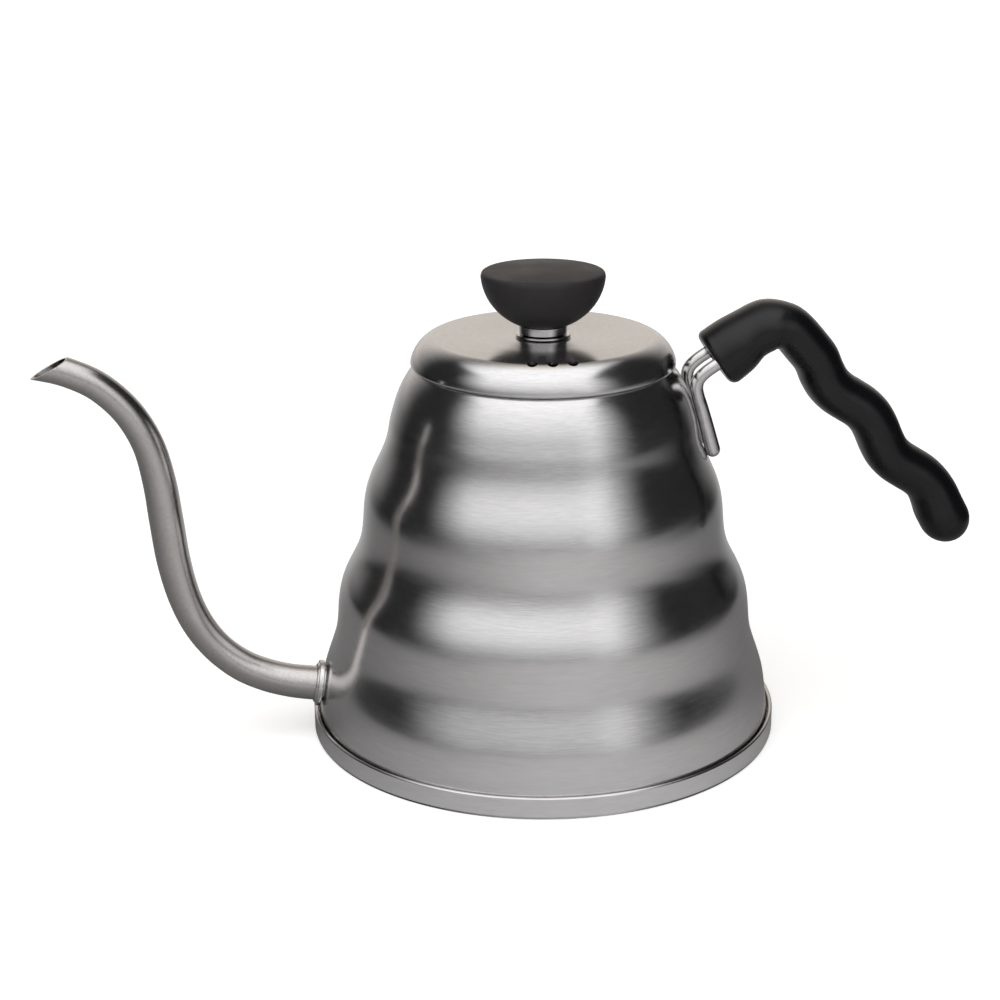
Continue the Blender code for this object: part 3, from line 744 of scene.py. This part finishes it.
def grip():
    turns, seams, half = parting_turns()
    line = close_start(grip_points(), sum(GRIP_RIM[::2]), GRIP_RIM_STEPS)
    kept = []
    for (x, z, radius), run, ahead in zip(line, distances(line), eased_headings(line, GRIP_EASE, GRIP_FACE)):
        ridge = PARTING_HEIGHT * (1 - eased(x, *PARTING_FADE)) * eased(run, 0, 2 * MM)
        one = []
        for turn in turns:
            on_seam = min(seam_distance(turn, seam) for seam in seams) < half / 2
            inset = rim_inset(run, turn) - (ridge if on_seam else 0.0)
            tall, wide = radius - inset, radius * grip_width(x) - inset
            one.append(Vector(ring_point(x, z, 0, ahead, turn, tall, wide)))
        if not kept or least_step(kept[-1], one, Vector((ahead.x, 0, ahead.y))) > RING_STEP:
            kept.append(one)
    shape = bmesh.new()
    close_ends(shape, [[shape.verts.new(point) for point in one] for one in kept])
    obj = cut(to_object("grip_shell", shape), *grip_sockets())
    finish = black_plastic("grip_plastic", (0.0040, 0.0040, 0.0052), (0.24, 0.31), 0.0005, 0.000005, 0.36)
    place_piece(obj, "kettle", finish, ["grip"])


def grip_sockets():
    """Holes for the rods, a slot for the plate that ties them, and a stepped hole for the screw."""
    tools = []
    for side in (-1, 1):
        line = [(x, z, radius + GAP) for x, z, radius in rod_points(4)[:13]]
        ahead = heading(line[0], line[1])
        x, z, radius = line[0]
        line[0] = (x - ahead.x * 0.8 * MM, z - ahead.y * 0.8 * MM, radius)
        tools.append(rod("rod_socket", line, side * ROD_SPACING / 2, ROD_SIDES))
    lane = (PLATE_SIZE[0] + 14 * MM, PLATE_SIZE[1] + 2 * GAP, PLATE_SIZE[2] + 2 * GAP)
    centre = plate_point(PLATE_SIZE[0] / 2 + GAP - lane[0] / 2, 0)
    tools.append(block("plate_slot", lane, centre, PLATE_SLOPE, 0))
    down = plate_down()
    tools.append(drill("screw_hole", SCREW_RADIUS + GAP, 26 * MM, plate_point(0, -12 * MM), down))
    head = plate_point(0, GAP - GRIP_SCREW_SEAT) + down * 6 * MM
    tools.append(drill("head_hole", GRIP_SCREW_HEAD + 2 * GAP, 12 * MM, head, down))
    return tools


def plate_down():
    return Vector((-math.sin(PLATE_SLOPE), 0, -math.cos(PLATE_SLOPE)))


def plate_point(along, up):
    """A point in the plate's own frame: along the rods towards the tail, and up from its middle."""
    ahead = Vector((math.cos(PLATE_SLOPE), 0, -math.sin(PLATE_SLOPE)))
    return Vector((PLATE_CENTRE[0], 0, PLATE_CENTRE[1])) + ahead * along - plate_down() * up


def rod_tie_plate(finish):
    plate = block("tie_plate", PLATE_SIZE, plate_point(0, 0), PLATE_SLOPE, 0.2 * MM)
    cut(plate, drill("plate_hole", SCREW_RADIUS + 0.2 * MM, 8 * MM, plate_point(0, 0), plate_down()))
    place_piece(plate, "kettle", finish, ["rod_tie_plate"])


def pan_screw(name, node, body, head_at, along, length, head_radius, finish):
    """A pan-head screw with a cross recess. Its head's underside is at head_at."""
    thick = SCREW_HEAD_THICKNESS
    chamfer = 0.5 * MM
    points = [(0, length), (SCREW_RADIUS - chamfer, length), (SCREW_RADIUS, length - chamfer)]
    points += [(SCREW_RADIUS, 0), (head_radius, 0)]
    for angle in map(math.radians, (90, 78, 66, 54, 42, 30, 18)):
        points.append((head_radius * math.sin(angle), -thick * (0.35 + 0.65 * math.cos(angle))))
    screw = turned(name, points + [(0, -thick)], 64, closed=False)
    long, wide = RECESS
    arms = [block("arm", (*size, thick), (0, 0, -thick), 0, 0) for size in ((long, wide), (wide, long))]
    cut(screw, *arms)
    turn_to = Vector((0, 0, 1)).rotation_difference(along).to_matrix().to_4x4()
    screw.matrix_world = Matrix.Translation(head_at) @ turn_to
    place_piece(settle(screw), body, finish, [node])


# ---------------------------------------------------------------- lid and knob

def lid_corner(flat_radius, edge_radius, top, foot, count):
    """The rounded corner of the lid from its flat top down to its edge."""
    found = []
    for across in (math.sin(math.pi / 2 * i / (count - 1)) for i in range(count)):
        fall = (1 - across**LID_CORNER_POWER) ** (1 / LID_CORNER_POWER)
        found.append((flat_radius + (edge_radius - flat_radius) * across, foot + (top - foot) * fall))
    return found


def lid_shell():
    hole = SCREW_RADIUS + GAP
    dish = [(hole, LID_CENTRE_TOP), (LID_DISH_RADIUS - 1.5 * MM, LID_CENTRE_TOP)]
    dish += [(LID_DISH_RADIUS, LID_CENTRE_TOP + 0.03 * MM), (LID_DISH_RADIUS + 3 * MM, LID_TOP - 0.05 * MM)]
    dish += [(LID_DISH_RADIUS + 5 * MM, LID_TOP)]
    outer = dish + lid_corner(LID_FLAT_RADIUS, LID_RADIUS, LID_TOP, LID_CORNER_FOOT, 28)
    hem = [(LID_RADIUS - inward * MM, LID_SEAT + up * MM) for inward, up in LID_HEM]
    inner = lid_corner(LID_FLAT_RADIUS, LID_RADIUS - WALL, LID_TOP - WALL, LID_CORNER_FOOT + GAP, 20)
    under = [(radius, height - WALL) for radius, height in reversed(dish)]
    lid = turned("lid", outer + hem + inner[::-1] + under, LID_TURNS)
    vents = []
    for angle in map(math.radians, VENT_ANGLES):
        place = (VENT_CIRCLE * math.cos(angle), VENT_CIRCLE * math.sin(angle), LID_TOP)
        vents.append(drill("vent", VENT_RADIUS, 8 * MM, place, (0, 0, 1), 40))
    cut(lid, *vents)
    finish = turned_steel("lid_steel", roughness=(0.16, 0.21), anisotropic=0.6)
    place_piece(lid, "lid", finish, ["lid_shell"])


def lid_skirt():
    curl = (SKIRT_RADIUS - SKIRT_CURL, SKIRT_FOOT + SKIRT_CURL)
    outside = arc(curl, SKIRT_CURL, 0, -90, 10)
    inside = arc(curl, SKIRT_CURL - SKIRT_WALL, -90, 0, 8)
    points = [(SKIRT_RADIUS, SKIRT_TOP), *outside, *inside, (SKIRT_RADIUS - SKIRT_WALL, SKIRT_TOP)]
    skirt = turned("lid_inner_skirt", points, LID_TURNS)
    finish = turned_steel("skirt_steel", roughness=(0.26, 0.34))
    place_piece(skirt, "lid", finish, ["lid_skirt"])


def knob():
    crown = [(radius * MM, KNOB_TOP - below * MM) for radius, below in KNOB_CROWN]
    start, end = math.radians(4), math.acos(FERRULE[0] / KNOB_RADIUS)
    bowl = []
    for angle in spread(start, end, 40):
        height = KNOB_BOWL_CENTRE - KNOB_BOWL_DEPTH * math.sin(angle)
        bowl.append((KNOB_RADIUS * math.cos(angle), max(height, KNOB_FOOT)))
    edge = [(bowl[0][0] - 0.02 * MM, bowl[0][1] + 0.35 * MM)]
    pocket = INSERT[0] + GAP
    inside = [(pocket, KNOB_FOOT), (pocket, KNOB_POCKET_TOP), (0, KNOB_POCKET_TOP)]
    obj = turned("lid_knob", crown + edge + bowl + inside, KNOB_TURNS, closed=False)
    finish = black_plastic("knob_plastic", (0.029, 0.0265, 0.0285), (0.50, 0.58), 0.0004, 0.00001, 0.25)
    place_piece(obj, "lid", finish, ["knob"])


def small_ring(name, node, sizes, edge, finish):
    """A plain turned ring on the knob's screw, with rounded outer edges."""
    outer, low, high = sizes
    inner = SCREW_RADIUS + GAP
    points = [(inner, high)] + arc((outer - edge, high - edge), edge, 90, 0, 6)
    points += arc((outer - edge, low + edge), edge, 0, -90, 6) + [(inner, low)]
    place_piece(turned(name, points, 96), "lid", finish, [node])


def knob_fixings(screw_finish):
    brass = plain_steel("insert_brass", (600, 600, 600), (0.60, 0.42, 0.18), (0.24, 0.32))
    polished = turned_steel("ferrule_steel", roughness=(0.10, 0.15), anisotropic=0.3)
    washer = turned_steel("washer_steel", roughness=(0.28, 0.36), anisotropic=0.3)
    small_ring("foot_ring", "knob_foot_ring", FOOT_RING, 0.2 * MM, polished)
    small_ring("ferrule_ring", "knob_ferrule", FERRULE, 0.2 * MM, polished)
    small_ring("screw_washer", "knob_washer", WASHER, 0.1 * MM, washer)
    small_ring("brass_insert", "knob_insert", INSERT, 0.2 * MM, brass)
    seat = Vector((0, 0, KNOB_SCREW_SEAT))
    up = Vector((0, 0, 1))
    pan_screw("lid_screw", "knob_screw", "lid", seat, up, KNOB_SCREW_LENGTH, KNOB_SCREW_HEAD, screw_finish)


# ---------------------------------------------------------------- floor, studio and camera

def bearing(graph, vector):
    """A direction's turn from straight in front, its rise, and how far behind it is."""
    split = graph.node("ShaderNodeSeparateXYZ", {"Vector": vector}).outputs
    turn = graph.math("ARCTAN2", split[0], graph.math("MULTIPLY", split[1], -1.0))
    aside = graph.math("ABSOLUTE", graph.math("ADD", turn, BEHIND_TURN))
    behind = graph.ramp(aside, *BEHIND_SPAN, smooth=True)
    return turn, split[2], behind


def front_light(graph, turn, rise, direction):
    """How far a direction lies in the front light, which narrows to the right and reaches over the top."""
    leaning = graph.math("ADD", turn, graph.math("MULTIPLY", rise, LEFT_LEAN))
    left = graph.ramp(leaning, *LEFT_SPAN, smooth=True)
    right = graph.ramp(turn, *RIGHT_SPAN, 1.0, 0.0, smooth=True)
    split = graph.node("ShaderNodeSeparateXYZ", {"Vector": direction}).outputs
    overhead = graph.ramp(split[0], *OVERHEAD_LEFT, smooth=True)
    overhead = graph.math("MULTIPLY", overhead, graph.ramp(split[0], *OVERHEAD_RIGHT, 1.0, 0.0, smooth=True))
    overhead = graph.math("MULTIPLY", overhead, graph.ramp(split[1], *OVERHEAD_BACK, 1.0, 0.0, smooth=True))
    front = graph.math("MULTIPLY", left, right)
    return graph.mix(graph.ramp(rise, *OVERHEAD_RISE, smooth=True), front, overhead)


def front_level(graph, turn, rise):
    """The front light's level: brighter upwards, less so low on the left, with a faint strip."""
    panel = graph.ramp(rise, 0.0, PANEL_TOP, *PANEL_LEVELS)
    low = graph.ramp(rise, 0.0, LOW_TOP, LOW_LOSS, 0.0)
    leftward = graph.ramp(turn, *LEFTWARD_SPAN, 1.0, 0.0)
    kept = graph.math("SUBTRACT", 1.0, graph.math("MULTIPLY", low, leftward))
    strip = graph.math("ABSOLUTE", graph.math("SUBTRACT", turn, STRIP_TURN))
    strip = graph.ramp(strip, *STRIP_WIDTH, STRIP_LEVEL, 0.0, smooth=True)
    strip = graph.math("MULTIPLY", strip, graph.ramp(rise, *STRIP_RISE, 1.0, 0.0))
    return graph.math("ADD", graph.math("MULTIPLY", panel, kept), strip)


def studio():
    """A tent-like soft light: bright in front and above, dark at both sides, pale behind."""
    world = bpy.data.worlds.new("studio")
    bpy.context.scene.world = world
    world.use_nodes = True
    graph = Graph(world.node_tree)
    direction = graph.node("ShaderNodeTexCoord").outputs["Generated"]
    turn, rise, behind = bearing(graph, direction)
    backdrop = graph.ramp(rise, *BACKDROP_RISE, *BACKDROP_LEVELS, smooth=True)
    around = graph.mix(behind, SIDE_LEVEL, backdrop)
    level = graph.mix(front_light(graph, turn, rise, direction), around, front_level(graph, turn, rise))
    warm = graph.tint(behind, WHITE, WARM)
    seen = graph.node("ShaderNodeLightPath").outputs["Is Camera Ray"]
    back = world.node_tree.nodes["Background"]
    graph.feed(back.inputs["Color"], graph.tint(seen, warm, WHITE))
    graph.feed(back.inputs["Strength"], graph.mix(seen, level, 1.0))


def floor():
    """A white table top. What the steel mirrors of it is painted shade: greyer than what the camera sees,
    darker to the sides and darker again far out.

    It is clear from below, and to what touches it, so that the underside can be looked at.
    """
    shape = bmesh.new()
    bmesh.ops.create_grid(shape, x_segments=1, y_segments=1, size=6.0)
    obj = to_object("floor", shape)
    made, graph, shader = new_material("floor_white", 0.0, Roughness=0.9, Specular_IOR_Level=0.0)
    place = graph.node("ShaderNodeTexCoord").outputs["Object"]
    turn, _, behind = bearing(graph, place)
    # Painted shade for mirrored rays only: pale in front, falling to dark at the sides and further out, and
    # pale behind, standing in for the studio's dark sides.
    aside = graph.math("ABSOLUTE", graph.math("SUBTRACT", turn, math.radians(5)))
    shade = graph.ramp(aside, 0.0, math.radians(110), smooth=True)
    reach = graph.node("ShaderNodeVectorMath", {0: place}, operation="LENGTH").outputs["Value"]
    far = graph.ramp(reach, 0.30, 0.55, 0.28, 0.02, smooth=True)
    mirrored_shade = graph.mix(behind, graph.mix(shade, 0.86, far), 0.75)
    mirrored_shade = graph.node("ShaderNodeCombineColor", {0: mirrored_shade, 1: mirrored_shade, 2: mirrored_shade}).outputs[0]
    path = graph.node("ShaderNodeLightPath").outputs
    seen = path["Is Camera Ray"]
    # The camera sees an even white; every other ray sees the painted shade.
    graph.feed(shader.inputs["Base Color"], graph.tint(seen, mirrored_shade, rgb(0.92, 0.92, 0.92)))
    shader.inputs["Emission Color"].default_value = rgb(1, 1, 1)
    graph.feed(shader.inputs["Emission Strength"], graph.math("MULTIPLY", seen, 0.42))
    clear = graph.node("ShaderNodeBsdfTransparent").outputs[0]
    below = graph.node("ShaderNodeNewGeometry").outputs["Backfacing"]
    below = graph.math("MAXIMUM", below, graph.math("LESS_THAN", path["Ray Length"], FLOOR_CONTACT))
    both = graph.node("ShaderNodeMixShader", {0: below, 1: shader.outputs[0], 2: clear}).outputs[0]
    graph.feed(made.node_tree.nodes["Material Output"].inputs["Surface"], both)
    obj.data.materials.append(made)


def camera():
    data = bpy.data.cameras.new("camera")
    data.lens = CAMERA_LENS
    data.sensor_width = 36.0
    data.shift_x = CAMERA_SHIFT
    data.clip_start = 0.01
    obj = bpy.data.objects.new("camera", data)
    bpy.context.scene.collection.objects.link(obj)
    ahead = Vector((math.sin(CAMERA_TURN), math.cos(CAMERA_TURN), 0))
    obj.location = -ahead * CAMERA_DISTANCE + Vector((0, 0, CAMERA_HEIGHT))
    look = ahead * math.cos(CAMERA_PITCH) - Vector((0, 0, math.sin(CAMERA_PITCH)))
    obj.rotation_mode = "QUATERNION"
    obj.rotation_quaternion = look.to_track_quat("-Z", "Y")
    bpy.context.scene.camera = obj


def build():
    bpy.context.scene.view_settings.view_transform = "Standard"
    screw_finish = plain_steel("screw_steel", (700, 700, 700), roughness=(0.22, 0.3))
    plate_finish = plain_steel("plate_steel", (300, 1500, 1500), roughness=(0.34, 0.42))
    camera()
    studio()
    floor()
    body_shell()
    base_pan()
    spout_tube()
    spout_collar()
    handle_rods()
    grip()
    rod_tie_plate(plate_finish)
    length = GRIP_SCREW_SEAT + PLATE_SIZE[2] / 2
    head_at = plate_point(0, -GRIP_SCREW_SEAT)
    up = -plate_down()
    pan_screw("grip_bolt", "grip_screw", "kettle", head_at, up, length, GRIP_SCREW_HEAD, screw_finish)
    lid_shell()
    lid_skirt()
    knob()
    knob_fixings(screw_finish)


build()
